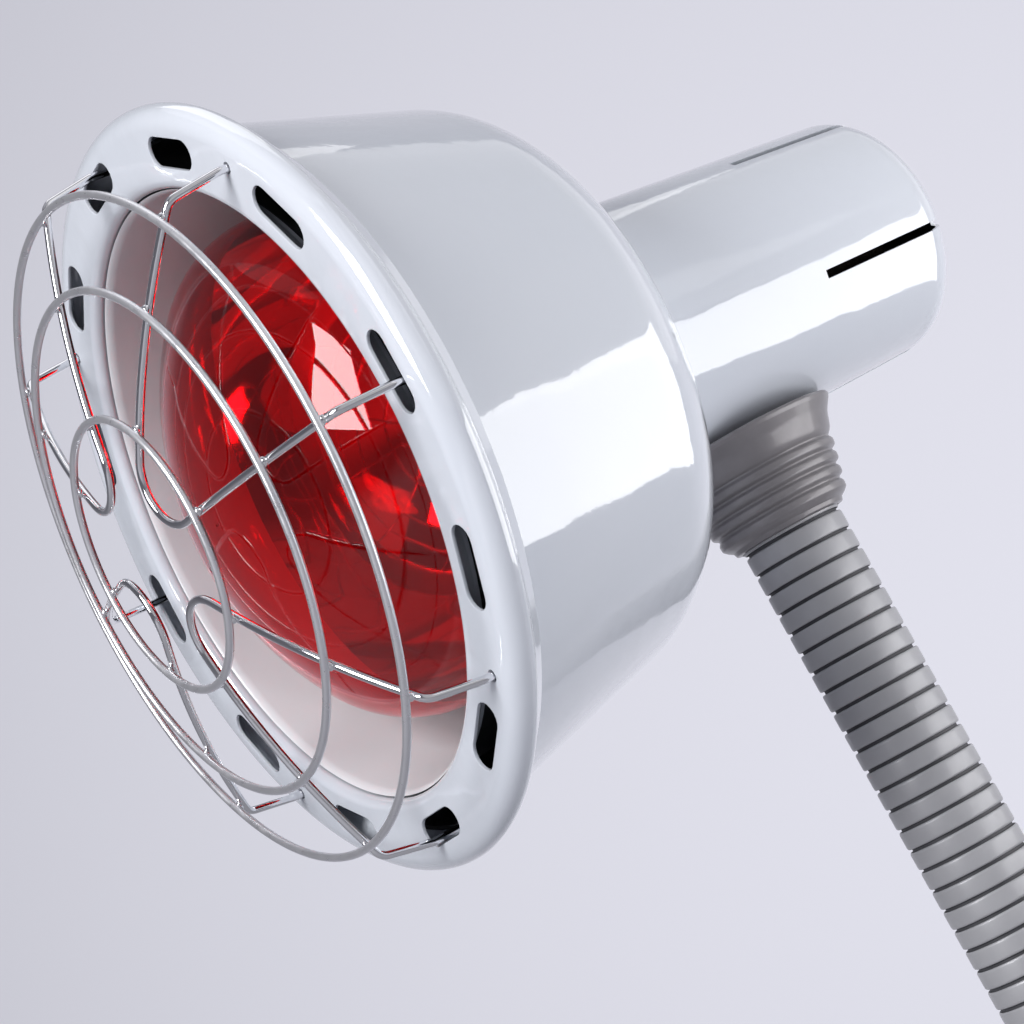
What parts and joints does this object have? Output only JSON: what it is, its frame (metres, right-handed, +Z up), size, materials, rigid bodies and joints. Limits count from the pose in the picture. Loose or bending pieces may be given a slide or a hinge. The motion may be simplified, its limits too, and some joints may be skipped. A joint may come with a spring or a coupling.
{
  "type": "heat lamp fixture",
  "caption": "Infrared heat lamp head: white bell shade with a slotted bezel, wire guard and ruby reflector bulb, on a ribbed gooseneck that ends in a threaded stand nipple",
  "frame": {"origin": "centre of the shoulder above the stand nipple, on the gooseneck's axis", "axes": "+Z up along the straight gooseneck, -Y the way the lamp looks, +X to the left-hand side of the lamp as it looks out"},
  "size_m": [0.19, 0.2262, 0.409],
  "materials": {
    "white_enamel": "glossy white enamel with soft orange peel",
    "reflector_white": "glossy white enamel",
    "guard_chrome": "bright plated wire",
    "ruby_glass": "clear ruby glass",
    "mirror_film": "aluminised film",
    "cap_metal": "rolled sheet",
    "black_glass": "black glass insulator",
    "clear_glass": "clear glass",
    "tungsten": "drawn wire",
    "porcelain": "glazed porcelain",
    "brass_parts": "stamped brass",
    "zinc_steel": "zinc-plated steel",
    "brown_insulation": "heat-proof silicone insulation",
    "blue_insulation": "heat-proof silicone insulation",
    "lead_sheath": "sheathed two-core lead",
    "grey_rubber": "satin grey",
    "grey_sleeve": "satin grey ribs",
    "satin_ferrule": "satin plated",
    "core_metal": "machined links"
  },
  "bodies": {
    "neck_base": {"lower_ferrule": "satin_ferrule", "flex_root": "core_metal", "stand_nipple": "zinc_steel", "ferrule_set_screw": "zinc_steel", "ribbed_sleeve": "grey_sleeve", "neck_lead": "lead_sheath"},
    "head": {"bezel_ring": "white_enamel", "bezel_clips": "zinc_steel", "outer_shell": "white_enamel", "socket_cup": "white_enamel", "inner_reflector": "reflector_white", "shell_rivets": "zinc_steel", "lampholder_body": "porcelain", "screw_shell": "brass_parts", "holder_bracket": "zinc_steel", "socket_screws": "zinc_steel", "bracket_screws": "zinc_steel", "terminal_screws": "brass_parts", "live_lead": "brown_insulation", "neutral_lead": "blue_insulation", "upper_ferrule": "zinc_steel", "upper_nipple": "zinc_steel", "saddle_washer": "zinc_steel", "top_locknut": "zinc_steel", "boot": "grey_rubber"},
    "bulb": {"bulb_glass": "ruby_glass", "bulb_mirror": "mirror_film", "bulb_cap": "cap_metal", "bulb_insulator": "black_glass", "bulb_tip_contact": "cap_metal", "bulb_stem": "clear_glass", "filament": "tungsten", "filament_supports": "tungsten", "lead_in_wires": "tungsten"},
    "guard": {"guard_ring_outer": "guard_chrome", "guard_ring_middle": "guard_chrome", "guard_ring_inner": "guard_chrome", "guard_hairpin_1": "guard_chrome", "guard_hairpin_2": "guard_chrome", "guard_hairpin_3": "guard_chrome", "guard_hairpin_4": "guard_chrome"},
    "contact": {"centre_contact": "brass_parts"},
    "link_1": {"flex_link_1": "core_metal"},
    "link_2": {"flex_link_2": "core_metal"},
    "link_3": {"flex_link_3": "core_metal"},
    "link_4": {"flex_link_4": "core_metal"},
    "link_5": {"flex_link_5": "core_metal"},
    "link_6": {"flex_link_6": "core_metal"},
    "link_7": {"flex_link_7": "core_metal"}
  },
  "joints": [
    {"name": "neck_bend_1", "type": "hinge", "parent": "neck_base", "child": "link_1", "pos_m": [0, 0, 0.0403], "axis": [1, 0, 0], "range_deg": [-18, 18], "deforming": ["ribbed_sleeve", "neck_lead"]},
    {"name": "neck_bend_2", "type": "hinge", "parent": "link_1", "child": "link_2", "pos_m": [0, 0, 0.0669], "axis": [0, 1, 0], "range_deg": [-18, 18], "deforming": ["ribbed_sleeve", "neck_lead"]},
    {"name": "neck_bend_3", "type": "hinge", "parent": "link_2", "child": "link_3", "pos_m": [0, 0, 0.0935], "axis": [1, 0, 0], "range_deg": [-18, 18], "deforming": ["ribbed_sleeve", "neck_lead"]},
    {"name": "neck_bend_4", "type": "hinge", "parent": "link_3", "child": "link_4", "pos_m": [0, 0, 0.1201], "axis": [0, 1, 0], "range_deg": [-18, 18], "deforming": ["ribbed_sleeve", "neck_lead"]},
    {"name": "neck_bend_5", "type": "hinge", "parent": "link_4", "child": "link_5", "pos_m": [0, 0, 0.1467], "axis": [1, 0, 0], "range_deg": [-18, 18], "deforming": ["ribbed_sleeve", "neck_lead"]},
    {"name": "neck_bend_6", "type": "hinge", "parent": "link_5", "child": "link_6", "pos_m": [0, 0, 0.1733], "axis": [0, 1, 0], "range_deg": [-18, 18], "deforming": ["ribbed_sleeve", "neck_lead"]},
    {"name": "neck_bend_7", "type": "hinge", "parent": "link_6", "child": "link_7", "pos_m": [0, 0, 0.1999], "axis": [1, 0, 0], "range_deg": [-18, 18], "deforming": ["ribbed_sleeve", "neck_lead"]},
    {"name": "neck_bend_8", "type": "hinge", "parent": "link_7", "child": "head", "pos_m": [0, 0, 0.2265], "axis": [0, 1, 0], "range_deg": [-18, 18], "deforming": ["ribbed_sleeve", "neck_lead"]},
    {"name": "bulb_unscrew", "type": "hinge", "parent": "head", "child": "bulb", "pos_m": [0, 0, 0.3], "axis": [0, -1, 0], "continuous": true},
    {"name": "guard_pull_off", "type": "slide", "parent": "head", "child": "guard", "axis": [0, -1, 0], "range_m": [0, 0.04]},
    {"name": "contact_spring_travel", "type": "slide", "parent": "head", "child": "contact", "axis": [0, 1, 0], "range_m": [0, 0.0015], "stiffness_N_per_m": 1500}
  ]
}
